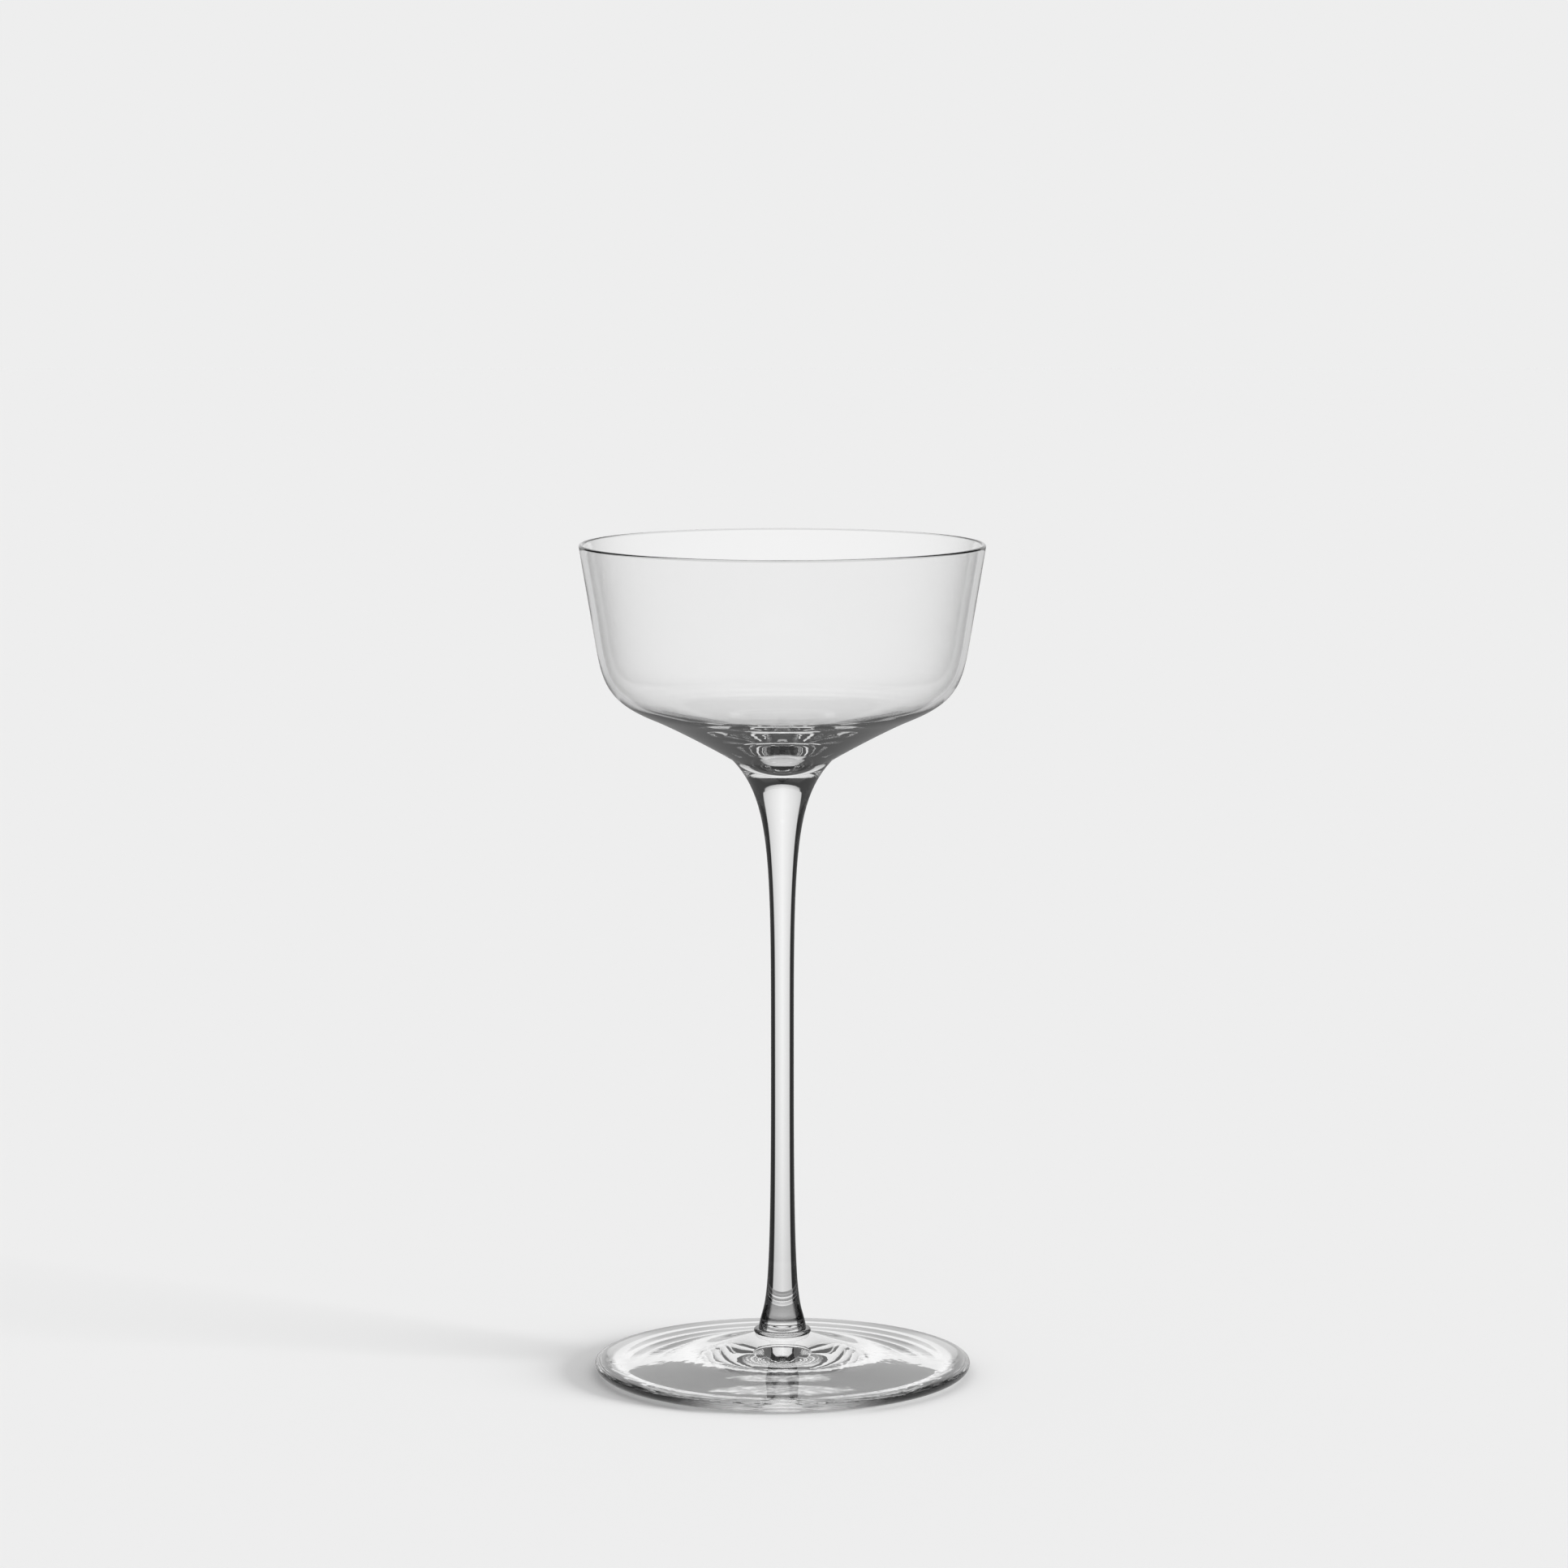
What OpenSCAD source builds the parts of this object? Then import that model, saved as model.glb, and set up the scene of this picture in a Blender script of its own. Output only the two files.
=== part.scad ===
// Stemmed cocktail glass: a shallow straight-sided bowl on a slim drawn stem and a wide foot.
// The origin is the centre of the plane that the foot stands on, and +Z is up.
// Every piece is a body of revolution about the Z axis, so each is drawn as its half outline,
// with the radius first and the height second. Pieces were joined hot and meet face to face.

/* [Bowl] */
// Outer radius of the mouth
mouth_r = 38.6; // [34:0.1:46]
// Height of the bowl from the throat, where the stem meets it, to the rim
bowl_h = 41.4; // [36:0.1:60]
// Thickness of the rim, which is rounded over by the flame
rim_t = 0.85; // [0.6:0.05:1.6]
// Height of the straight part of the wall, below the rim
wall_h = 17.2; // [10:0.1:22]
// Outer radius where the straight wall starts
wall_foot_r = 35.8; // [30:0.1:38]
// Thickness of the wall where it starts
wall_t = 0.92; // [0.7:0.01:2]
// Outer radius where the conical floor turns into the shoulder
floor_edge_r = 25.1; // [20:0.1:28]
// Height of that turn above the throat
floor_edge_h = 8.3; // [6:0.1:12]
// Slope of the floor's outside there, in degrees
floor_edge_slope = 22.6; // [15:0.1:35]
// Slope of the floor's inside there, in degrees
inner_floor_slope = 20.2; // [14:0.1:30]
// Thickness of the floor there
floor_t = 1.15; // [0.8:0.05:2.5]
// Radius of the small rounded cup in the middle of the bottom
cup_r = 5; // [3:0.1:8]
// Depth of that cup
cup_h = 1.7; // [0.8:0.1:3]
// Slope of its side, where the conical floor starts, in degrees
cup_slope = 32; // [20:0.5:45]
// Thickness of the bottom on the axis
bottom_t = 1.4; // [1:0.1:3]

/* [Throat] */
// Outer radius of the throat, where the stem's flare meets the floor
throat_r = 9.4; // [7:0.1:12]
// Slope of the floor's outside at the throat, in degrees
throat_slope = 38; // [28:0.5:46]
// How far the bowl's rounded bottom sinks into the top of the stem
seat_depth = 2.4; // [1.5:0.1:3.5]

/* [Stem] */
// Length of the stem from the collar to the throat
stem_l = 110.1; // [70:0.1:150]
// Radius at the slimmest place
waist_r = 2.2; // [1.8:0.05:4]
// Height of the slimmest place above the collar
waist_h = 49.1; // [30:0.1:60]
// Radius of the stem where it stands on the collar
stem_foot_r = 4.6; // [3:0.1:4.9]
// Slope of the stem's side where it leaves the collar, in degrees
stem_foot_slope = 80; // [60:1:88]
// Length of stem that the lower flare draws on
lower_flare_l = 6.6; // [4:0.1:15]
// Length of stem that the upper flare draws on
upper_flare_l = 11; // [6:0.1:18]
// Slope of the flare where it reaches the throat, in degrees
upper_flare_slope = 47; // [40:0.5:75]

/* [Collar] */
// Radius of the joining collar
collar_r = 5.5; // [5.2:0.1:9]
// Thickness of the collar, which has a fully rounded edge
collar_t = 1; // [0.6:0.1:1.2]

/* [Foot] */
// Radius of the foot
foot_r = 36.2; // [30:0.1:45]
// Height of the foot's crown, which carries the collar
crown_h = 7.9; // [6:0.1:12]
// Slope of the crown's side, in degrees
crown_slope = 19; // [10:0.5:30]
// Height of the foot's widest line
edge_h = 2.1; // [1.4:0.1:3]
// Thickness of glass between the widest line and the top of the rounded edge
edge_top_t = 0.85; // [0.5:0.05:1.4]
// How far in from the widest line the top of the rounded edge lies
edge_in = 1.4; // [0.8:0.1:2.5]
// Slope of the top just inside the rounded edge, in degrees
brim_slope = 4.2; // [1:0.1:8]
// Outer radius of the narrow ring that the foot stands on
ring_r = 31.9; // [26:0.1:33]
// Width of the standing ring
ring_w = 0.8; // [0.4:0.1:2]
// Height of the hollow under the foot, on the axis
hollow_h = 2.8; // [1:0.1:4]
// Slope at which the hollow leaves the standing ring, in degrees
hollow_slope = 9; // [3:0.5:15]

/* [Hidden] */
$fn = 180;

// Number of straight steps in each curved stretch of an outline
curve_steps = 18;
rim_steps = 10;
full_turn = 360;
glass = [0.84, 0.87, 0.87, 0.5];

// Heights of the joints
collar_top_h = crown_h + collar_t;
throat_h = collar_top_h + stem_l;
waist_z = collar_top_h + waist_h;
total_h = throat_h + bowl_h;

// Handles of the curves, as shares of the stretch that each one spans
floor_handles_share = [0.09, 0.28];
shoulder_handles_share = [0.48, 0.48];
inner_handle_share = 1 / 3;
stem_handles_share = [1, 0.665];
crown_handles_share = [0.36, 0.63];
round_handle_share = 0.5523;
hollow_handles_share = [0.35, 0.4];

// A point at a given reach from another one, in a direction that rises by the given angle
function reach(from, rise, far) = from + far * [cos(rise), sin(rise)];

// A cubic curve from a to d with handles b and c, without its last point
function curve(a, b, c, d) = [
    for (i = [0 : curve_steps - 1])
        let (t = i / curve_steps, s = 1 - t)
            pow(s, 3) * a + 3 * pow(s, 2) * t * b + 3 * s * pow(t, 2) * c + pow(t, 3) * d
];

// Bowl, outer side
throat = [throat_r, throat_h];
floor_edge = [floor_edge_r, throat_h + floor_edge_h];
wall_foot = [wall_foot_r, total_h - wall_h];
wall_rise = atan2(wall_h, mouth_r - wall_foot_r);
rim_round = rim_t / 2;
rim_centre = [mouth_r - rim_round, total_h - rim_round];
floor_span = norm(floor_edge - throat);
shoulder_span = norm(wall_foot - floor_edge);

// The bowl's rounded bottom, a shallow cap that the top of the stem is shaped round
seat_ball_r = (pow(throat_r, 2) + pow(seat_depth, 2)) / (2 * seat_depth);
seat_angle = asin(throat_r / seat_ball_r);
seat_centre_h = throat_h - seat_depth + seat_ball_r;
seat_line = [
    for (i = [0 : curve_steps - 1])
        let (a = seat_angle * i / curve_steps)
            [seat_ball_r * sin(a), seat_centre_h - seat_ball_r * cos(a)]
];

floor_outer = curve(
    throat,
    reach(throat, throat_slope, floor_handles_share[0] * floor_span),
    reach(floor_edge, floor_edge_slope + 180, floor_handles_share[1] * floor_span),
    floor_edge
);
shoulder_outer = curve(
    floor_edge,
    reach(floor_edge, floor_edge_slope, shoulder_handles_share[0] * shoulder_span),
    reach(wall_foot, wall_rise + 180, shoulder_handles_share[1] * shoulder_span),
    wall_foot
);

// Bowl, inner side: each turning point lies one thickness inside the outer one
inner_wall_foot = reach(wall_foot, wall_rise + 90, wall_t);
inner_floor_edge = reach(floor_edge, floor_edge_slope + 90, floor_t);
inner_bottom = [0, throat_h - seat_depth + bottom_t];
cup_edge = [cup_r, inner_bottom[1] + cup_h];
inner_shoulder_span = norm(inner_wall_foot - inner_floor_edge);
inner_floor_handle = inner_handle_share * norm(inner_floor_edge - cup_edge);
cup_handle = inner_handle_share * norm(cup_edge - inner_bottom);

rim_line = [
    for (i = [0 : rim_steps])
        let (a = wall_rise - 90 + 180 * i / rim_steps)
            reach(rim_centre, a, rim_round)
];
shoulder_inner = curve(
    inner_wall_foot,
    reach(inner_wall_foot, wall_rise + 180, shoulder_handles_share[1] * inner_shoulder_span),
    reach(inner_floor_edge, inner_floor_slope, shoulder_handles_share[0] * inner_shoulder_span),
    inner_floor_edge
);
floor_inner = curve(
    inner_floor_edge,
    reach(inner_floor_edge, inner_floor_slope + 180, inner_floor_handle),
    reach(cup_edge, cup_slope, inner_floor_handle),
    cup_edge
);
cup_inner = curve(
    cup_edge,
    reach(cup_edge, cup_slope + 180, cup_handle),
    reach(inner_bottom, 0, cup_handle),
    inner_bottom
);

// Stem
stem_foot = [stem_foot_r, collar_top_h];
waist = [waist_r, waist_z];
stem_lower = curve(
    stem_foot,
    reach(stem_foot, 180 - stem_foot_slope, lower_flare_l),
    reach(waist, -90, stem_handles_share[0] * waist_h),
    waist
);
stem_upper = curve(
    waist,
    reach(waist, 90, stem_handles_share[1] * (stem_l - waist_h)),
    reach(throat, upper_flare_slope + 180, upper_flare_l),
    throat
);

// Collar
collar_round = collar_t / 2;
collar_flat_r = collar_r - collar_round;

// Foot
crown = [collar_flat_r, crown_h];
brim = [foot_r - edge_in, edge_h + edge_top_t];
edge = [foot_r, edge_h];
ring_outer = [ring_r, 0];
ring_inner = [ring_r - ring_w, 0];
hollow_top = [0, hollow_h];
brim_span = brim[0] - crown[0];

foot_top = curve(
    crown,
    reach(crown, -crown_slope, crown_handles_share[0] * brim_span),
    reach(brim, 180 - brim_slope, crown_handles_share[1] * brim_span),
    brim
);
foot_edge_top = curve(
    brim,
    reach(brim, -brim_slope, round_handle_share * edge_in),
    reach(edge, 90, round_handle_share * edge_top_t),
    edge
);
foot_edge_under = curve(
    edge,
    reach(edge, -90, round_handle_share * edge_h),
    reach(ring_outer, 0, round_handle_share * (foot_r - ring_r)),
    ring_outer
);
foot_hollow = curve(
    ring_inner,
    reach(ring_inner, 180 - hollow_slope, hollow_handles_share[0] * ring_inner[0]),
    reach(hollow_top, 0, hollow_handles_share[1] * ring_inner[0]),
    hollow_top
);

function backwards(line) = [for (i = [len(line) - 1 : -1 : 0]) line[i]];

module turned(outline) {
    rotate_extrude(angle = full_turn) polygon(outline);
}

module bowl() {
    color(glass)
        turned(concat(seat_line, floor_outer, shoulder_outer, rim_line,
                      shoulder_inner, floor_inner, cup_inner, [inner_bottom]));
}

module stem() {
    color(glass)
        turned(concat([[0, collar_top_h]], stem_lower, stem_upper, [throat], backwards(seat_line)));
}

module collar() {
    color(glass)
        rotate_extrude(angle = full_turn) {
            translate([0, crown_h]) square([collar_flat_r, collar_t]);
            intersection() {
                translate([collar_flat_r, crown_h + collar_round]) circle(r = collar_round);
                translate([collar_flat_r, crown_h]) square([collar_round, collar_t]);
            }
        }
}

module foot() {
    color(glass)
        turned(concat([[0, crown_h]], foot_top, foot_edge_top, foot_edge_under,
                      [ring_outer], foot_hollow, [hollow_top]));
}

bowl();
stem();
collar();
foot();
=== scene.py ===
# %% [markdown]
# # A thin stemmed glass, as a studio picture
#
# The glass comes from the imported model: four solids of blown and drawn glass, in metres, with +Z up.
# The solids are right in size, but they are made of flat facets, and every facet of a lens shows.
# So this lesson spins each piece again from a smooth drawn outline, gives it clear glass, and sets up
# the floor, the light and the camera of the photograph.

# %% Load the frame
import math

import bpy
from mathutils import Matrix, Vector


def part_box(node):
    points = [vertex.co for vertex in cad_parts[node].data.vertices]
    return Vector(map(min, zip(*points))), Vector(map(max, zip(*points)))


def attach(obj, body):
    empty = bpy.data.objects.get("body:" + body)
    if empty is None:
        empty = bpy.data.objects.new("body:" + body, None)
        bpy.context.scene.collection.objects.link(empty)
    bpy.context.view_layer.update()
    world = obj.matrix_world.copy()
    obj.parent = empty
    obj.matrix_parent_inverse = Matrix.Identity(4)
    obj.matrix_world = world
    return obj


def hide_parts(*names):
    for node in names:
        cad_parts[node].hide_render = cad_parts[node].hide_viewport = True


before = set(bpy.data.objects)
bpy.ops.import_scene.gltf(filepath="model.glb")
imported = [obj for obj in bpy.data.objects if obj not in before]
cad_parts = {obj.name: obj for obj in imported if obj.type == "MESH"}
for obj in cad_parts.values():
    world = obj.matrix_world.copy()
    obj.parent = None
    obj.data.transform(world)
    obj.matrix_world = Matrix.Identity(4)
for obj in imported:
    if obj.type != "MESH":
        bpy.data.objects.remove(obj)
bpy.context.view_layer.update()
MM = 0.001

# %% [markdown]
# ## Camera
#
# The rim and the foot are circles seen as ellipses. Their flatness and their sizes give the camera:
# a long lens about a metre away, looking down by seven degrees. The focal length was found in pixels
# of the photograph, so it is turned into millimetres on Blender's sensor.

# %% Camera of the photograph
PHOTO_PIXELS = 1932
FOCAL_PIXELS = 6772
AXIS_PIXEL_X = 964
camera_distance = 1039.2 * MM
camera_height = 243.8 * MM
camera_pitch = math.radians(7.094)

axis_offset = (PHOTO_PIXELS / 2 - AXIS_PIXEL_X) / FOCAL_PIXELS * camera_distance
bpy.ops.object.camera_add(
    location=(axis_offset, -camera_distance, camera_height),
    rotation=(math.pi / 2 - camera_pitch, 0, 0),
)
camera = bpy.context.object
camera.name = "camera"
camera.data.sensor_width = 36
camera.data.lens = camera.data.sensor_width * FOCAL_PIXELS / PHOTO_PIXELS
camera.data.clip_start = 0.05
camera.data.clip_end = 50
bpy.context.scene.camera = camera
print("lens in mm", round(camera.data.lens, 2))

# %% [markdown]
# ## Sizes
#
# The heights and radii of the joints are read from the frame, so the smooth pieces stand where the
# solids do. What a box can't tell, such as a wall's thickness, is written here in millimetres.

# %% Read the joints from the frame
bowl_low, bowl_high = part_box("bowl")
stem_low, stem_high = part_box("stem")
collar_low, collar_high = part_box("collar")
foot_low, foot_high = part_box("foot")

mouth_r = bowl_high.x
rim_z = bowl_high.z
throat_z = stem_high.z
throat_r = stem_high.x
collar_z = stem_low.z
collar_r = collar_high.x
crown_z = foot_high.z
foot_r = foot_high.x
radii = (mouth_r, throat_r, collar_r, foot_r)
print("mouth, throat, collar and foot radii in mm", [round(v / MM, 2) for v in radii])

# %% [markdown]
# ## Drawing an outline and spinning it
#
# Blown and drawn glass is round, so each piece is half an outline turned about the Z axis. The outline
# could be typed as many points, but a Bezier curve needs only its turning points and the slopes there,
# and stays smooth between them. The curve is made a mesh, spun by a Screw modifier, welded at the seam
# and on the axis, and its faces are turned outwards.

# %% One turning point of an outline
CURVE_STEPS = 24


def toward(place, slope, distance):
    """The point at a distance from a place, in a direction that rises by a slope in degrees."""
    angle = math.radians(slope)
    return (place[0] + distance * math.cos(angle), place[1] + distance * math.sin(angle))


def knot(place, come=None, leave=None):
    """A turning point. come and leave are the slope and the reach of the handles before and after it."""
    before = toward(place, come[0] + 180, come[1]) if come else place
    after = toward(place, leave[0], leave[1]) if leave else place
    return {"place": place, "before": before, "after": after}


# %% Draw an outline as a Bezier curve
def draw_outline(name, knots):
    """Adds a Bezier curve in the XZ plane through the knots, and makes it a mesh."""
    bpy.ops.object.select_all(action="DESELECT")
    bpy.ops.curve.primitive_bezier_curve_add(location=(0, 0, 0))
    outline = bpy.context.object
    outline.name = name
    points = outline.data.splines[0].bezier_points
    points.add(len(knots) - len(points))
    for point, drawn in zip(points, knots):
        point.handle_left_type = point.handle_right_type = "FREE"
        point.co = (drawn["place"][0], 0, drawn["place"][1])
        point.handle_left = (drawn["before"][0], 0, drawn["before"][1])
        point.handle_right = (drawn["after"][0], 0, drawn["after"][1])
    outline.data.resolution_u = CURVE_STEPS
    bpy.ops.object.convert(target="MESH")
    return bpy.context.object


# %% Spin an outline into a closed piece
SEGMENTS = 288
WELD = 2e-7
CREASE_ANGLE = math.radians(30)
# A cubic curve follows a quarter round when its handles are this share of the radius long
QUARTER_SHARE = 4 / 3 * math.tan(math.pi / 8)


def spin_piece(name, knots):
    """Turns an outline about the Z axis into a closed, smooth mesh."""
    piece = draw_outline(name, knots)
    turn = piece.modifiers.new("turn", "SCREW")
    turn.axis = "Z"
    turn.angle = 2 * math.pi
    turn.steps = turn.render_steps = SEGMENTS
    turn.use_merge_vertices = True
    turn.merge_threshold = WELD
    bpy.ops.object.modifier_apply(modifier=turn.name)
    bpy.ops.object.mode_set(mode="EDIT")
    bpy.ops.mesh.select_all(action="SELECT")
    bpy.ops.mesh.remove_doubles(threshold=WELD)
    bpy.ops.mesh.select_all(action="SELECT")
    bpy.ops.mesh.normals_make_consistent(inside=False)
    bpy.ops.mesh.select_all(action="DESELECT")
    bpy.ops.object.mode_set(mode="OBJECT")
    piece.data.name = name
    bpy.ops.object.shade_smooth_by_angle(angle=CREASE_ANGLE)
    print(name, len(piece.data.polygons), "faces")
    return piece


# %% [markdown]
# ## Bowl
#
# The bowl was blown thin and opened out: a rim rounded by the flame, a wall that leans out by nine
# degrees, a tight shoulder and a floor like a shallow funnel. Its wall is under a millimetre at the rim
# and thickens toward the bottom. A shell with Solidify would have one thickness everywhere, so both
# sides are drawn: up the outside, over the rim and down the inside.

# %% Outline of the bowl
seat_depth = 2.4 * MM
floor_edge = (25.1 * MM, throat_z + 8.3 * MM)
floor_edge_slope = 22.6
floor_start_share = 0.09
floor_end_share = 0.28
shoulder_share = 0.48
floor_t = 1.15 * MM
inner_floor_slope = 20.2
wall_h = 17.2 * MM
wall_foot = (35.8 * MM, rim_z - wall_h)
wall_t = 0.92 * MM
rim_t = 0.85 * MM
bottom_t = 1.4 * MM
cup_r = 5 * MM
cup_h = 1.7 * MM
cup_slope = 32
throat_slope = 38
wall_slope = math.degrees(math.atan2(wall_h, mouth_r - wall_foot[0]))

throat = (throat_r, throat_z)
floor_span = math.dist(floor_edge, throat)
floor_start = floor_start_share * floor_span
floor_end = floor_end_share * floor_span
shoulder_reach = shoulder_share * math.dist(floor_edge, wall_foot)
seat_bottom = (0, throat_z - seat_depth)
seat_ball_r = (throat_r**2 + seat_depth**2) / (2 * seat_depth)
seat_angle = math.degrees(math.asin(throat_r / seat_ball_r))
# The seat is less than a quarter round, and the handles of an arc are 4/3 tan(angle/4) radii long
seat_reach = 4 / 3 * math.tan(math.radians(seat_angle) / 4) * seat_ball_r

rim_round = rim_t / 2
rim_reach = QUARTER_SHARE * rim_round
rim_centre = (mouth_r - rim_round, rim_z - rim_round)
rim_outer = toward(rim_centre, wall_slope - 90, rim_round)
rim_top = toward(rim_centre, wall_slope, rim_round)
rim_inner = toward(rim_centre, wall_slope + 90, rim_round)

inner_wall_foot = toward(wall_foot, wall_slope + 90, wall_t)
inner_floor_edge = toward(floor_edge, floor_edge_slope + 90, floor_t)
inner_bottom = (0, throat_z - seat_depth + bottom_t)
cup_edge = (cup_r, inner_bottom[1] + cup_h)
inner_shoulder_reach = shoulder_share * math.dist(inner_floor_edge, inner_wall_foot)
inner_floor_reach = math.dist(inner_floor_edge, cup_edge) / 3
cup_reach = math.dist(cup_edge, inner_bottom) / 3

bowl_knots = [
    knot(seat_bottom, leave=(0, seat_reach)),
    knot(throat, come=(seat_angle, seat_reach), leave=(throat_slope, floor_start)),
    knot(floor_edge, come=(floor_edge_slope, floor_end), leave=(floor_edge_slope, shoulder_reach)),
    knot(wall_foot, come=(wall_slope, shoulder_reach), leave=(wall_slope, wall_h / 3)),
    knot(rim_outer, come=(wall_slope, wall_h / 3), leave=(wall_slope, rim_reach)),
    knot(rim_top, come=(wall_slope + 90, rim_reach), leave=(wall_slope + 90, rim_reach)),
    knot(rim_inner, come=(wall_slope + 180, rim_reach), leave=(wall_slope + 180, wall_h / 3)),
    knot(
        inner_wall_foot,
        come=(wall_slope + 180, wall_h / 3),
        leave=(wall_slope + 180, inner_shoulder_reach),
    ),
    knot(
        inner_floor_edge,
        come=(inner_floor_slope + 180, inner_shoulder_reach),
        leave=(inner_floor_slope + 180, inner_floor_reach),
    ),
    knot(cup_edge, come=(cup_slope + 180, inner_floor_reach), leave=(cup_slope + 180, cup_reach)),
    knot(inner_bottom, come=(180, cup_reach)),
]
bowl = spin_piece("glass_bowl", bowl_knots)

# %% [markdown]
# ## Stem
#
# The stem is solid, drawn out while soft, so it is slimmest away from its ends and flares toward the
# bowl and the foot in one long pull on each side. Two Bezier spans with long handles give that line.

# %% Outline of the stem
waist_h = 49.1 * MM
waist = (2.2 * MM, collar_z + waist_h)
stem_foot = (4.6 * MM, collar_z)
stem_foot_slope = 100
lower_flare = 6.6 * MM
upper_flare = 11 * MM
upper_flare_slope = 47
upper_pull = 0.665 * (throat_z - waist[1])
stem_knots = [
    knot((0, collar_z)),
    knot(stem_foot, leave=(stem_foot_slope, lower_flare)),
    knot(waist, come=(90, waist_h), leave=(90, upper_pull)),
    knot(throat, come=(upper_flare_slope, upper_flare), leave=(seat_angle + 180, seat_reach)),
    knot(seat_bottom, come=(180, seat_reach)),
]
stem = spin_piece("glass_stem", stem_knots)

# %% [markdown]
# ## Collar
#
# Between the stem and the foot lies a small button of glass, which shows as a thin ring.

# %% Outline of the collar
collar_round = (collar_high.z - collar_low.z) / 2
collar_flat_r = collar_r - collar_round
collar_reach = QUARTER_SHARE * collar_round
collar_knots = [
    knot((0, crown_z)),
    knot((collar_flat_r, crown_z), leave=(0, collar_reach)),
    knot((collar_r, crown_z + collar_round), come=(90, collar_reach), leave=(90, collar_reach)),
    knot((collar_flat_r, collar_z), come=(180, collar_reach)),
    knot(stem_foot),
    knot((0, collar_z)),
]
collar = spin_piece("glass_collar", collar_knots)

# %% [markdown]
# ## Foot
#
# The foot is a thin domed disc with a fire-rounded edge. It stands on a narrow ring and is hollowed
# underneath, as such feet are, so that it doesn't rock.

# %% Outline of the foot
edge_in = 1.4 * MM
edge = (foot_r, 2.1 * MM)
brim = (foot_r - edge_in, edge[1] + 0.85 * MM)
brim_slope = 4.2
crown = (collar_flat_r, crown_z)
ring_outer = (31.9 * MM, 0)
ring_inner = (31.1 * MM, 0)
hollow_top = (0, 2.8 * MM)
crown_slope = 19
hollow_slope = 9
brim_span = brim[0] - crown[0]
crown_reach = 0.36 * brim_span
brim_reach = 0.63 * brim_span
hollow_start = 0.35 * ring_inner[0]
hollow_end = 0.4 * ring_inner[0]
round_share = 0.5523
foot_knots = [
    knot((0, crown_z)),
    knot(crown, leave=(-crown_slope, crown_reach)),
    knot(brim, come=(-brim_slope, brim_reach), leave=(-brim_slope, round_share * edge_in)),
    knot(edge, come=(-90, round_share * (brim[1] - edge[1])), leave=(-90, round_share * edge[1])),
    knot(ring_outer, come=(180, round_share * (foot_r - ring_outer[0]))),
    knot(ring_inner, leave=(180 - hollow_slope, hollow_start)),
    knot(hollow_top, come=(180, hollow_end)),
]
foot = spin_piece("glass_foot", foot_knots)

# %% [markdown]
# ## Places on the frame
#
# Each smooth piece takes the place of its solid. The glass is one rigid body, so all of them ride on the
# root, and all are the same clear glass.

# %% Put every piece on the frame
for piece, node in ((bowl, "bowl"), (stem, "stem"), (collar, "collar"), (foot, "foot")):
    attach(piece, "root")
    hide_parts(node)
    print(piece.name, "replaces", node)

# %% [markdown]
# ## Shader arithmetic
#
# Masks and patterns are sums and products. Wiring them by hand hides the sums, so a small class wraps
# a socket: adding or multiplying two wrapped sockets adds the Math node that does it. A second class
# makes the nodes, each from one call with its type, its settings and its inputs.

# %% A wrapped socket and a tree of nodes
BLACK = (0, 0, 0, 1)
WHITE = (1, 1, 1, 1)


class Wire:
    """A number in a node tree. Arithmetic on it adds Math nodes."""

    def __init__(self, tree, socket):
        self.tree = tree
        self.socket = socket

    def math(self, operation, *others):
        return self.tree.node("ShaderNodeMath", {"operation": operation}, [self, *others])

    def __add__(self, other):
        return self.math("ADD", other)

    __radd__ = __add__

    def __sub__(self, other):
        return self.math("SUBTRACT", other)

    def __rsub__(self, other):
        return self.tree.node("ShaderNodeMath", {"operation": "SUBTRACT"}, [other, self])

    def __mul__(self, other):
        return self.math("MULTIPLY", other)

    __rmul__ = __mul__

    def __truediv__(self, other):
        return self.math("DIVIDE", other)

    def out(self, name):
        """Another output of the node that this one comes from."""
        return Wire(self.tree, self.socket.node.outputs[name])

    def part(self, axis):
        """The X, Y or Z of a place or a direction."""
        return self.tree.node("ShaderNodeSeparateXYZ", {}, [self], axis)

    def step(self, low, high):
        """0 below low, 1 above high, and a smooth change between them."""
        settings = {"interpolation_type": "SMOOTHSTEP"}
        inputs = {"Value": self, "From Min": low, "From Max": high}
        return self.tree.node("ShaderNodeMapRange", settings, inputs)


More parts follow.
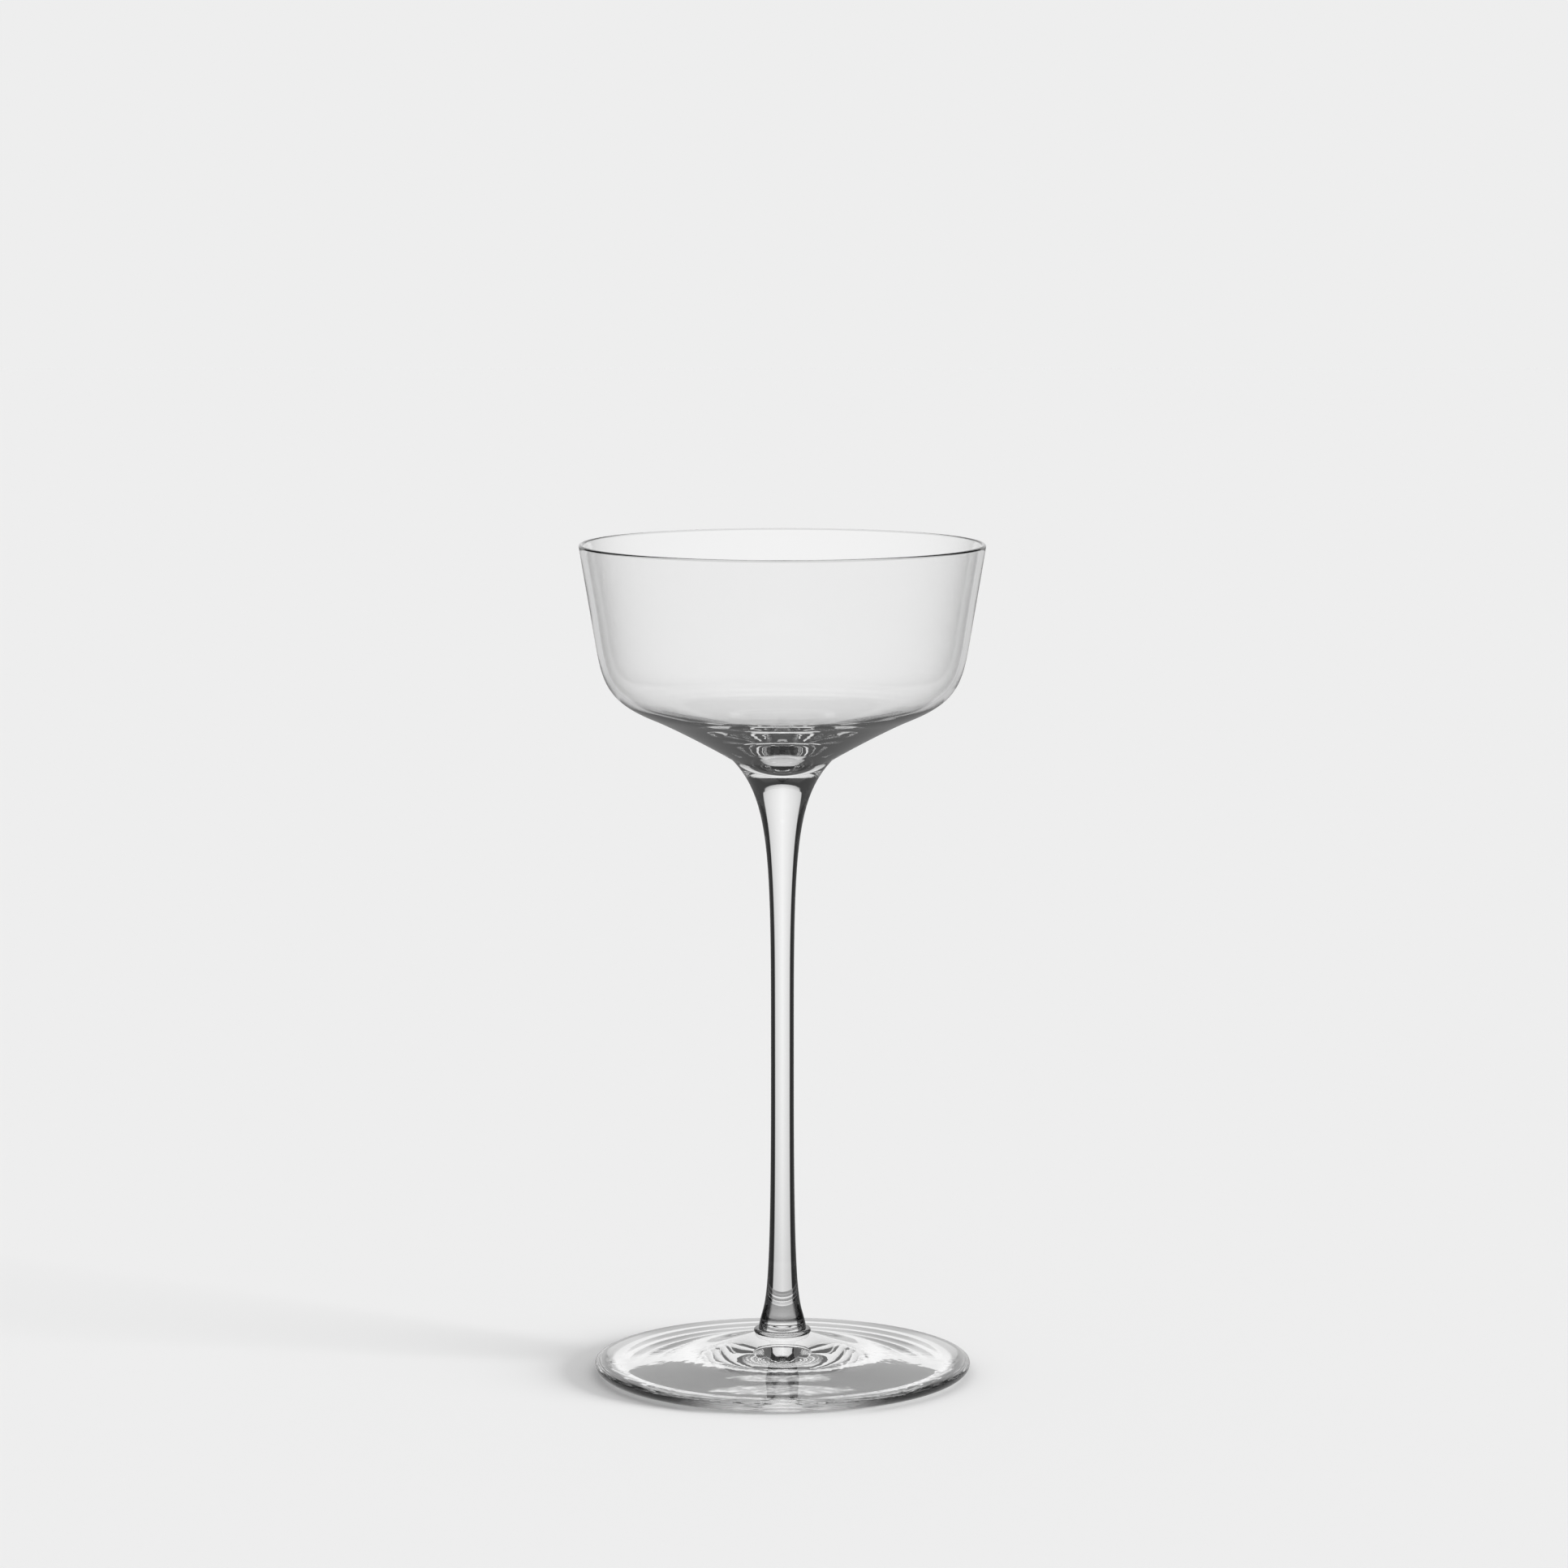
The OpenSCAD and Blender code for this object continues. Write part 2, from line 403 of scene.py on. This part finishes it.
class Tree:
    """A node tree that is filled by calls."""

    def __init__(self, owner):
        owner.use_nodes = True
        self.tree = owner.node_tree
        self.tree.nodes.clear()

    def node(self, kind, settings=None, inputs=(), output=0):
        """Adds a node. Its settings come first, then the values or links of its sockets."""
        made = self.tree.nodes.new(kind)
        for key, value in (settings or {}).items():
            setattr(made, key, value)
        pairs = inputs.items() if isinstance(inputs, dict) else enumerate(inputs)
        for key, value in pairs:
            if isinstance(key, str):
                socket = next(s for s in made.inputs if s.enabled and s.name == key)
            else:
                socket = made.inputs[key]
            if isinstance(value, Wire):
                self.tree.links.new(value.socket, socket)
            else:
                socket.default_value = value
        if not len(made.outputs):
            return made
        outputs = [s for s in made.outputs if s.enabled]
        if isinstance(output, str):
            return Wire(self, next(s for s in outputs if s.name == output))
        return Wire(self, outputs[output])

    def blend(self, share, first, second):
        """The first colour where the share is 0 and the second where it is 1."""
        inputs = {"Factor": share, "A": first, "B": second}
        return self.node("ShaderNodeMix", {"data_type": "RGBA"}, inputs, "Result")

    def grey(self, level):
        """A grey of a level from 0, which is black, to 1, which is white."""
        return self.blend(level, BLACK, WHITE)

    def glow(self, mask, level):
        """A surface that shines where the mask is 1 and can't be seen where it is 0."""
        clear = self.node("ShaderNodeBsdfTransparent", {}, {"Color": WHITE})
        light = self.node("ShaderNodeEmission", {}, {"Strength": level})
        return self.node("ShaderNodeMixShader", {}, {0: mask, 1: clear, 2: light})


# %% [markdown]
# ## Clear glass
#
# Colourless glass is a plain refracting shader. Its looks come from what it bends into view, so its
# detail is in its surface: hands and tools leave faint rings, pulls and waves that bend the light a
# little more or less. The relief is at most some hundredths of a millimetre deep, far too fine to model,
# so it is a bump map. All of its rings and waves are placed by the object's own coordinates.

# %% Helpers for the relief
def object_place(tree):
    """The place on a piece, in the object's own coordinates."""
    return tree.node("ShaderNodeTexCoord", output="Object")


def from_axis(place):
    """The distance of a place from the axis."""
    x = place.part("X")
    y = place.part("Y")
    return (x * x + y * y).math("SQRT")


def rings(place, spacing, depth):
    """Even rings round the axis."""
    return (from_axis(place) * (2 * math.pi / spacing)).math("SINE") * depth


def waves(tree, place, stretch, size, depth, detail=2.0):
    """Uneven waves of a size and a depth. A stretch under 1 draws them out along that axis."""
    spot = tree.node("ShaderNodeVectorMath", {"operation": "MULTIPLY"}, {0: place, 1: stretch})
    noise = tree.node("ShaderNodeTexNoise", {}, {"Vector": spot, "Scale": 1 / size, "Detail": detail})
    return (noise - 0.5) * depth


# %% Relief of the bowl
EVENLY = (1, 1, 1)
PADDLE_RINGS = 2.4 * MM
PADDLE_DEPTH = 0.0025 * MM
PADDLE_PATCH = 7 * MM
PADDLE_FADE = (throat_z + 8 * MM, throat_z + 16 * MM)
PATCH_SWING = 1.6
PATCH_MEAN = 0.6
WALL_WAVES = 16 * MM
WALL_DEPTH = 0.004 * MM
WALL_STRETCH = (1, 1, 0.6)


def bowl_relief(tree):
    """Rings from the paddle on the floor, in patches, and slow waves in the blown wall."""
    place = object_place(tree)
    on_floor = 1 - place.part("Z").step(*PADDLE_FADE)
    patches = waves(tree, place, EVENLY, PADDLE_PATCH, PATCH_SWING) + PATCH_MEAN
    paddled = rings(place, PADDLE_RINGS, PADDLE_DEPTH) * patches * on_floor
    return paddled + waves(tree, place, WALL_STRETCH, WALL_WAVES, WALL_DEPTH, detail=0.0)


# %% Relief of the stem
PULL_STRETCH = (1, 1, 0.08)
PULL_WIDTH = 2.2 * MM
PULL_DEPTH = 0.004 * MM
BAND_STRETCH = (0, 0, 1)
BAND_LENGTH = 9 * MM
BAND_DEPTH = 0.01 * MM


def stem_relief(tree):
    """Long pulls along the stem, and bands where it was drawn out faster or slower."""
    place = object_place(tree)
    pulls = waves(tree, place, PULL_STRETCH, PULL_WIDTH, PULL_DEPTH)
    return pulls + waves(tree, place, BAND_STRETCH, BAND_LENGTH, BAND_DEPTH, detail=1.0)


# %% Relief of the foot
PRESS_RINGS = 3.1 * MM
PRESS_RING_DEPTH = 0.0003 * MM
PRESS_WAVES = 6 * MM
PRESS_DEPTH = 0.045 * MM
EDGE_FADE = (foot_r - 3.5 * MM, foot_r - 1.2 * MM)
EDGE_CALM = 0.7
BACK_FADE = (-2 * MM, 12 * MM)
BACK_CALM = 0.7
CROWN_FADE = (8 * MM, 15 * MM)
CROWN_CALM = 0.4


def foot_relief(tree):
    """Uneven waves where the foot was pressed out, weaker toward the back, the crown and the edge."""
    place = object_place(tree)
    r = from_axis(place)
    inside = 1 - r.step(*EDGE_FADE) * EDGE_CALM
    front = 1 - place.part("Y").step(*BACK_FADE) * BACK_CALM
    off_crown = 1 - CROWN_CALM + r.step(*CROWN_FADE) * CROWN_CALM
    pressed = waves(tree, place, EVENLY, PRESS_WAVES, PRESS_DEPTH, detail=3.0) * (front * off_crown)
    return (rings(place, PRESS_RINGS, PRESS_RING_DEPTH) + pressed) * inside


# %% [markdown]
# ## Painted shade on the glass
#
# Solid glass this thick draws dark outlines, since it bends the dark sides of the room into view. The
# stem, the collar and the foot's edge get painted shade in their colour there, which strengthens those
# lines. The painted shade of the stem and the collar follows the slant at which they are seen, and that
# of the foot lies on its edge.

# %% Painted dark outlines of the stem and the collar
# Colours of the painted shade, where the dark room would be bent into view
PAINTED_SLANT_SHADE = (0.06, 0.06, 0.061, 1)
PAINTED_OUTLINE_SHADE = (0.002, 0.002, 0.0021, 1)
SLANT_BLUR = 0.06
OUTLINE_FROM = 0.35
OUTLINE_TO = 0.45
STEM_SLANT = 0.2
COLLAR_SLANT = 0.3
FLARE_FADE = (throat_z - 40 * MM, throat_z - 8 * MM)
FLARE_EASE = 0.12
THROAT_FADE = (throat_z - 12 * MM, throat_z)
THROAT_EASE = 0.6


def painted_slant_shade(tree, slant):
    """Painted shade: white where the glass is seen square on, and dark from a slant on."""
    facing = tree.node("ShaderNodeLayerWeight", {}, {"Blend": 0.5}, "Facing")
    # Toward the throat the stem turns flat, so only its outline may darken there
    z = object_place(tree).part("Z")
    facing = facing - z.step(*FLARE_FADE) * FLARE_EASE
    facing = facing - z.step(*THROAT_FADE) * THROAT_EASE
    colour = tree.blend(facing.step(slant, slant + SLANT_BLUR), WHITE, PAINTED_SLANT_SHADE)
    return tree.blend(facing.step(slant + OUTLINE_FROM, slant + OUTLINE_TO), colour, PAINTED_OUTLINE_SHADE)


def stem_painted_shade(tree):
    return painted_slant_shade(tree, STEM_SLANT)


def collar_painted_shade(tree):
    return painted_slant_shade(tree, COLLAR_SLANT)


# %% Painted dark edge of the foot
# Colour of the painted shade on the foot's edge, where it would see the dark room
PAINTED_EDGE_SHADE = (0.04, 0.04, 0.041, 1)
FACE_FROM = (34.2 * MM, 35.2 * MM)
FACE_TOP = (2.1 * MM, 2.8 * MM)
FACE_SIDES = (8 * MM, 20 * MM)
UNDER_FROM = (32.3 * MM, 33 * MM)
UNDER_TOP = (0.4 * MM, 0.9 * MM)
UNDER_SHARE = 0.6


def foot_edge_painted_shade(tree):
    """Painted shade: white, and dark low on the foot's rounded edge: at both sides, and underneath all
    round.
    """
    place = object_place(tree)
    r = from_axis(place)
    z = place.part("Z")
    outer_face = r.step(*FACE_FROM) * (1 - z.step(*FACE_TOP))
    at_sides = outer_face * place.part("X").math("ABSOLUTE").step(*FACE_SIDES)
    underside = r.step(*UNDER_FROM) * (1 - z.step(*UNDER_TOP)) * UNDER_SHARE
    return tree.blend(at_sides.math("MAXIMUM", underside), WHITE, PAINTED_EDGE_SHADE)


# %% Clear glass
GLASS_IOR = 1.52


def clear_glass(name, relief, painted_shade):
    """Clear glass with a relief, and with painted shade in its colour where a function for one is given.
    """
    material = bpy.data.materials.new(name)
    tree = Tree(material)
    # The base colour carries the painted shade, or stays white
    colour = painted_shade(tree) if painted_shade else WHITE
    bump = tree.node("ShaderNodeBump", {}, {"Height": relief(tree), "Distance": 1.0, "Strength": 1.0})
    finish = {
        "Base Color": colour,
        "Roughness": 0.0,
        "IOR": GLASS_IOR,
        "Transmission Weight": 1.0,
        "Normal": bump,
    }
    shader = tree.node("ShaderNodeBsdfPrincipled", {}, finish)
    tree.node("ShaderNodeOutputMaterial", {}, {"Surface": shader})
    print(name, len(tree.tree.nodes), "nodes")
    return material


# %% [markdown]
# ## Fused joints
#
# Where two pieces were joined hot the glass runs on without a surface. The smooth pieces are closed
# meshes that meet face to face, so the faces of the joints get a shader that nothing sees.

# %% Dress the pieces
UPWARD = 0.3
LEVEL = 0.9
TINY = 0.005 * MM


def fused_joint(name):
    """A surface that light passes as if it weren't there."""
    material = bpy.data.materials.new(name)
    tree = Tree(material)
    shader = tree.node("ShaderNodeBsdfTransparent", {}, {"Color": WHITE})
    tree.node("ShaderNodeOutputMaterial", {}, {"Surface": shader})
    return material


joint_material = fused_joint("fused_joint")


def dress(piece, is_joint, relief, painted_shade=None):
    """Gives a piece its glass, with any painted shade, and its joint faces the clear joint."""
    piece.data.materials.append(clear_glass(piece.name + "_clear", relief, painted_shade))
    piece.data.materials.append(joint_material)
    count = 0
    for face in piece.data.polygons:
        x, y, z = face.center
        if is_joint(math.hypot(x, y), z, face.normal.z):
            face.material_index = 1
            count += 1
    # The glass must keep its own slope up to the joint, so the joint's outline is a sharp edge
    bpy.context.view_layer.objects.active = piece
    piece.active_material_index = 1
    bpy.ops.object.mode_set(mode="EDIT")
    bpy.ops.mesh.select_all(action="DESELECT")
    bpy.ops.object.material_slot_select()
    bpy.ops.mesh.region_to_loop()
    bpy.ops.mesh.mark_sharp()
    bpy.ops.object.mode_set(mode="OBJECT")
    sharp = sum(1 for line in piece.data.edges if line.use_edge_sharp)
    print(piece.name, count, "joint faces", sharp, "sharp edges")


dress(bowl, lambda r, z, up: z < throat_z and up < 0, bowl_relief)
dress(
    stem,
    lambda r, z, up: (up > UPWARD and z > throat_z - seat_depth - TINY) or z < collar_z + TINY,
    stem_relief,
    stem_painted_shade,
)
dress(
    collar,
    lambda r, z, up: z < crown_z + TINY or (z > collar_z - TINY and r < stem_foot[0]),
    stem_relief,
    collar_painted_shade,
)
dress(foot, lambda r, z, up: z > crown_z - TINY and up > LEVEL, foot_relief, foot_edge_painted_shade)

# %% [markdown]
# ## Floor
#
# The glass stands on a pale sweep under even light, so a big plane does for it, in the colour that the
# camera should record. Clear glass would show that plane in every bend and lose its dark lines. So rays
# that come out of the glass or glance off it pass the plane, and meet the studio instead.

# %% Pale floor
PALE = 0.855
SWEEP = 8
FLOOR_Z = -0.02 * MM


def pale_floor(name):
    """The plain pale surface that the glass stands on."""
    material = bpy.data.materials.new(name)
    tree = Tree(material)
    shader = tree.node("ShaderNodeBsdfDiffuse", {}, {"Color": (PALE, PALE, PALE, 1)})
    tree.node("ShaderNodeOutputMaterial", {}, {"Surface": shader})
    return material


bpy.ops.object.select_all(action="DESELECT")
bpy.ops.mesh.primitive_plane_add(size=SWEEP, location=(0, 0, FLOOR_Z))
floor = bpy.context.object
floor.name = "floor"
floor.data.materials.append(pale_floor("floor_pale"))
floor.visible_glossy = False
floor.visible_transmission = False
print("floor", SWEEP, "m wide, grey", PALE)

# %% [markdown]
# ## Table under the foot: painted shade and light
#
# The near half of the foot is grey in the photograph. The likely reason is the tabletop right under the
# glass, where little light gets in. A thin dark slab below the floor paints that shade: a level ray goes
# a long way through it and a steep ray only a short way. It also greys the foot when that is seen from
# above. A flat glowing ring round the slab is painted light for the lit table, brightest behind the stem.

# %% Slab of painted shade
SLAB_R = 32 * MM
SLAB_T = 0.5 * MM
SLAB_Z = -5 * MM
# Density of the painted shade in the slab
PAINTED_SHADE_DENSITY = 0.8 / SLAB_T
DISC_SIDES = 96


def painted_shade_slab(name):
    """Dark absorbing volume that fills a slab and has no surface: painted shade under the foot."""
    material = bpy.data.materials.new(name)
    tree = Tree(material)
    painted_shade_volume = tree.node("ShaderNodeVolumeAbsorption", {}, {"Color": (0, 0, 0, 1), "Density": PAINTED_SHADE_DENSITY})
    tree.node("ShaderNodeOutputMaterial", {}, {"Volume": painted_shade_volume})
    return material


bpy.ops.object.select_all(action="DESELECT")
bpy.ops.mesh.primitive_cylinder_add(
    vertices=DISC_SIDES, radius=SLAB_R, depth=SLAB_T, location=(0, 0, SLAB_Z)
)
slab = bpy.context.object
slab.name = "shade_slab"
slab.data.materials.append(painted_shade_slab("slab_painted_shade"))
print("slab lets through", round(math.exp(-PAINTED_SHADE_DENSITY * SLAB_T), 2), "of the light straight down")

# %% Ring of painted light for the lit table
RING_IN = 33 * MM
RING_OUT = 46 * MM
RING_Z = -0.04 * MM
RING_LEVEL = 0.5
RING_RISE = 0.3
RING_RISE_AT = (-5 * MM, 8 * MM)
RING_FALL = 0.5
RING_FALL_AT = (18 * MM, 26 * MM)


def painted_table_light(name):
    """Painted light of the table: half bright in front, brighter beside and behind the stem, and dim at
    the back.
    """
    material = bpy.data.materials.new(name)
    tree = Tree(material)
    y = object_place(tree).part("Y")
    level = RING_LEVEL + y.step(*RING_RISE_AT) * RING_RISE - y.step(*RING_FALL_AT) * RING_FALL
    shader = tree.node("ShaderNodeEmission", {}, {"Color": tree.grey(level), "Strength": 1.0})
    tree.node("ShaderNodeOutputMaterial", {}, {"Surface": shader})
    return material


bpy.ops.object.select_all(action="DESELECT")
bpy.ops.mesh.primitive_circle_add(vertices=DISC_SIDES, radius=RING_IN, location=(0, 0, RING_Z))
lit_ring = bpy.context.object
lit_ring.name = "lit_ring"
bpy.ops.object.mode_set(mode="EDIT")
bpy.ops.mesh.select_all(action="SELECT")
bpy.ops.mesh.extrude_region()
bpy.ops.transform.resize(value=(RING_OUT / RING_IN, RING_OUT / RING_IN, 1))
bpy.ops.object.mode_set(mode="OBJECT")
lit_ring.data.materials.append(painted_table_light("table_painted_light"))
print("table ring", len(lit_ring.data.polygons), "faces")

# %% [markdown]
# ## Ripples of light under the foot
#
# In the photograph two uneven ovals of light, laced with fine waves, lie on the table in front of the
# stem, where the foot seems to gather light. They aren't traced here. They are drawn on a clear disc just
# under the floor, which only rays that came through the foot without a reflection can see.

# %% Clear disc with two ovals of light
RIPPLE_Y = (-13.5 * MM, -24.5 * MM)
RIPPLE_HALF = (4.5 * MM, 4.5 * MM)
RIPPLE_WIDE = (10.4 * MM, 14 * MM)
RIPPLE_LEVEL = 0.78
RIPPLE_R = RING_IN - 2 * MM
RIPPLE_Z = -0.05 * MM
OVAL_EDGE = (0.75, 1.0)
LACE_SIZE = 2.2 * MM
LACE_STRETCH = (0.6, 1, 1)
LACE_SWING = 1.6
LACE_SHAKE = 0.5
LACE_GAIN = 2.6
LACE_LEAST = 0.35


def ripple_light(name):
    """Light that the foot gathers on the table: two uneven ovals, clear between them."""
    material = bpy.data.materials.new(name)
    tree = Tree(material)
    place = object_place(tree)
    x = place.part("X")
    y = place.part("Y")
    lace = waves(tree, place, LACE_STRETCH, LACE_SIZE, LACE_SWING, detail=3.0)
    light = 0
    for middle, half, wide in zip(RIPPLE_Y, RIPPLE_HALF, RIPPLE_WIDE):
        far = ((x / wide).math("POWER", 2) + ((y - middle) / half).math("POWER", 2)).math("SQRT")
        oval = 1 - (far + lace * LACE_SHAKE).step(*OVAL_EDGE)
        light = oval.math("MAXIMUM", light)
    # The ovals are streaked with the waves of the foot
    streaks = (lace.math("ABSOLUTE") * LACE_GAIN).math("MINIMUM", 1 - LACE_LEAST)
    light = light * (LACE_LEAST + streaks)
    # Only rays that came through the foot without a reflection see the ovals
    reflected = tree.node("ShaderNodeLightPath").out("Glossy Depth").math("GREATER_THAN", 0.5)
    shader = tree.glow(light * (1 - reflected), RIPPLE_LEVEL)
    tree.node("ShaderNodeOutputMaterial", {}, {"Surface": shader})
    return material


bpy.ops.object.select_all(action="DESELECT")
bpy.ops.mesh.primitive_circle_add(
    vertices=DISC_SIDES, radius=RIPPLE_R, fill_type="NGON", location=(0, 0, RIPPLE_Z)
)
ripples = bpy.context.object
ripples.name = "light_ripples"
ripples.data.materials.append(ripple_light("ripple_light"))
print("ripples at y in mm", [round(v / MM, 1) for v in RIPPLE_Y])

# %% [markdown]
# ## White cards beside the foot
#
# The foot and the lower flare show white patches on both sides. Low white cards behind the glass, to its
# left and right, give such patches. They are strips of one upright ring, and only rays that were
# reflected twice or more in the glass see them.

# %% Low white cards
SIDE_R = 60 * MM
SIDE_TOP = 24 * MM
SIDE_FOOT = -12 * MM
SIDE_FROM = math.radians(31)
SIDE_TO = math.radians(72)
SIDE_LEVEL = 0.92
SIDE_STEPS = 180


def side_light(name):
    """White for rays that were reflected twice or more and leave the glass, and clear for all others."""
    material = bpy.data.materials.new(name)
    tree = Tree(material)
    path = tree.node("ShaderNodeLightPath")
    turned = path.out("Glossy Depth").math("GREATER_THAN", 1.5) * path.out("Is Transmission Ray")
    shader = tree.glow(turned, SIDE_LEVEL)
    tree.node("ShaderNodeOutputMaterial", {}, {"Surface": shader})
    return material


bpy.ops.object.select_all(action="DESELECT")
bpy.ops.mesh.primitive_cylinder_add(
    vertices=SIDE_STEPS,
    radius=SIDE_R,
    depth=SIDE_TOP - SIDE_FOOT,
    end_fill_type="NOTHING",
    location=(0, 0, (SIDE_TOP + SIDE_FOOT) / 2),
)
side_cards = bpy.context.object
side_cards.name = "side_cards"
bpy.ops.object.mode_set(mode="EDIT")
bpy.ops.mesh.select_all(action="DESELECT")
bpy.ops.object.mode_set(mode="OBJECT")
for face in side_cards.data.polygons:
    turn = abs(math.atan2(face.center.x, face.center.y))
    face.select = not SIDE_FROM < turn < SIDE_TO
bpy.ops.object.mode_set(mode="EDIT")
bpy.ops.mesh.delete(type="FACE")
bpy.ops.object.mode_set(mode="OBJECT")
side_cards.data.materials.append(side_light("cards_white"))
print("side cards", len(side_cards.data.polygons), "faces")

# %% Hide these pieces from the camera and the floor
cards = (slab, lit_ring, ripples, side_cards)
for card in cards:
    card.visible_camera = False
    card.visible_diffuse = False
    card.visible_shadow = False
print("stage pieces", [card.name for card in cards])

# %% [markdown]
# ## Studio
#
# Glass is lit by what stands round it. A bright screen behind the glass fills its middle, and the dark
# room on both sides draws its edges, because there the light is bent by more than the screen is wide.
# All of it is painted on the sky, by direction, so that no card has to be built and placed. Angles are
# measured round from the middle of the screen, and up from the horizon.

# %% Studio round the glass
FILL = 0.7
SCREEN_HALF = math.radians(29)
SCREEN_BLUR = math.radians(2)
SCREEN_WIDER = math.radians(6)
LED_WIDER = math.radians(16)
WIDER_ABOVE = (math.radians(-14), math.radians(-2))
LED_TURNS = 12.5
SCREEN_MIDDLE = 0.97
SCREEN_SLOPE = 0.25
SCREEN_FOOT = 0.8
SCREEN_FOOT_AT = (math.radians(-16), math.radians(-8))
SCREEN_TOP_AT = (math.radians(60), math.radians(70))
TABLE_EDGE = (math.radians(-30), math.radians(-25))
GLANCE_EDGE = (-0.1, 0)
ROOM = 0.035
UNDER = 0.09
GLANCE = 0.3
BACK = 0.85
TABLE = 0.8
CARD_END = math.radians(70)
CARD_BLUR = math.radians(4)


def studio(name):
    """The light from all round, by its direction and by the way that the ray went."""
    world = bpy.data.worlds.new(name)
    tree = Tree(world)
    sight = tree.node("ShaderNodeTexCoord")
    azimuth = sight.part("X").math("ARCTAN2", sight.part("Y")).math("ABSOLUTE")
    height = sight.part("Z").math("ARCSINE")
    path = tree.node("ShaderNodeLightPath")
    turned = path.out("Glossy Depth").math("GREATER_THAN", 0.5)

    # Rays that only went through see a wider screen, except low down
    from_edge = azimuth - height.step(*WIDER_ABOVE) * (1 - turned) * SCREEN_WIDER
    # Light that was led far through the wall of the bowl comes in from a little further round
    led_far = path.out("Glossy Depth").math("GREATER_THAN", LED_TURNS)
    from_edge = from_edge - led_far * LED_WIDER
    on_screen = 1 - from_edge.step(SCREEN_HALF - SCREEN_BLUR, SCREEN_HALF + SCREEN_BLUR)
    level = SCREEN_MIDDLE - azimuth * (SCREEN_SLOPE / SCREEN_HALF)
    level = level * (SCREEN_FOOT + height.step(*SCREEN_FOOT_AT) * (1 - SCREEN_FOOT))
    level = level * (1 - height.step(*SCREEN_TOP_AT))
    screen = ROOM + (level - ROOM) * on_screen
    above_table = height.step(*TABLE_EDGE)

    # A ray that was reflected sees the dark side of the table, unless it glances off toward the floor
    reflected = UNDER + (screen - UNDER) * above_table
    glance = path.out("Is Glossy Ray") * (1 - path.out("Is Transmission Ray"))
    reflected = reflected + (GLANCE - reflected) * glance * (1 - height.step(*GLANCE_EDGE))

    # A ray that only went through the glass sees the pale room past the dark cards, and the table
    through = screen + (BACK - screen) * azimuth.step(CARD_END - CARD_BLUR, CARD_END + CARD_BLUR)
    through = TABLE + (through - TABLE) * above_table
    by_glass = through + (reflected - through) * turned

    # The light that reaches the floor through the glass is the plain light, not the studio's
    in_glass = path.out("Is Glossy Ray").math("MAXIMUM", path.out("Is Transmission Ray"))
    in_glass = in_glass * path.out("Diffuse Depth").math("LESS_THAN", 0.5)
    plain = FILL + path.out("Is Camera Ray") * (PALE - FILL)
    light = tree.grey(plain + (by_glass - plain) * in_glass)
    shade = tree.node("ShaderNodeBackground", {}, {"Color": light, "Strength": 1.0})
    tree.node("ShaderNodeOutputWorld", {}, {"Surface": shade})
    return world


bpy.context.scene.world = studio("studio")
print("screen", round(2 * math.degrees(SCREEN_HALF)), "degrees wide")

# %% [markdown]
# ## Lamp
#
# The shadow in the photograph is faint and soft, and falls to the left and a little back. A sun gives
# parallel light, and its angle makes it soft. Its strength makes up what the plain light leaves, so the
# floor comes out in its own colour.

# %% Low soft lamp from the right
lamp_height = math.radians(12.5)
lamp_turn = math.radians(22)
lamp_softness = math.radians(22)
bpy.ops.object.light_add(
    type="SUN",
    location=(0.5, -0.15, 0.15),
    rotation=(math.pi / 2 - lamp_height, 0, math.pi / 2 - lamp_turn),
)
lamp = bpy.context.object
lamp.name = "low_soft_lamp"
lamp.data.angle = lamp_softness
lamp.data.energy = math.pi * (1 - FILL) / math.sin(lamp_height)
lamp.visible_glossy = False
lamp.visible_transmission = False
print("lamp energy", round(lamp.data.energy, 3))

# %% [markdown]
# ## Tracing
#
# Light can be reflected many times in the thin wall of the bowl before it gets out, and a ray that is
# stopped on the way ends black. So the limits are high. The blur of glossy light is off, so that what
# the floor sees through the glass isn't blurred.

# %% Limits of the light paths
BOUNCES = 96
bpy.context.scene.view_settings.view_transform = "Standard"
cycles = bpy.context.scene.cycles
cycles.blur_glossy = 0.0
cycles.max_bounces = BOUNCES
cycles.transmission_bounces = BOUNCES
cycles.glossy_bounces = BOUNCES
cycles.transparent_max_bounces = BOUNCES
print("bounces", BOUNCES)
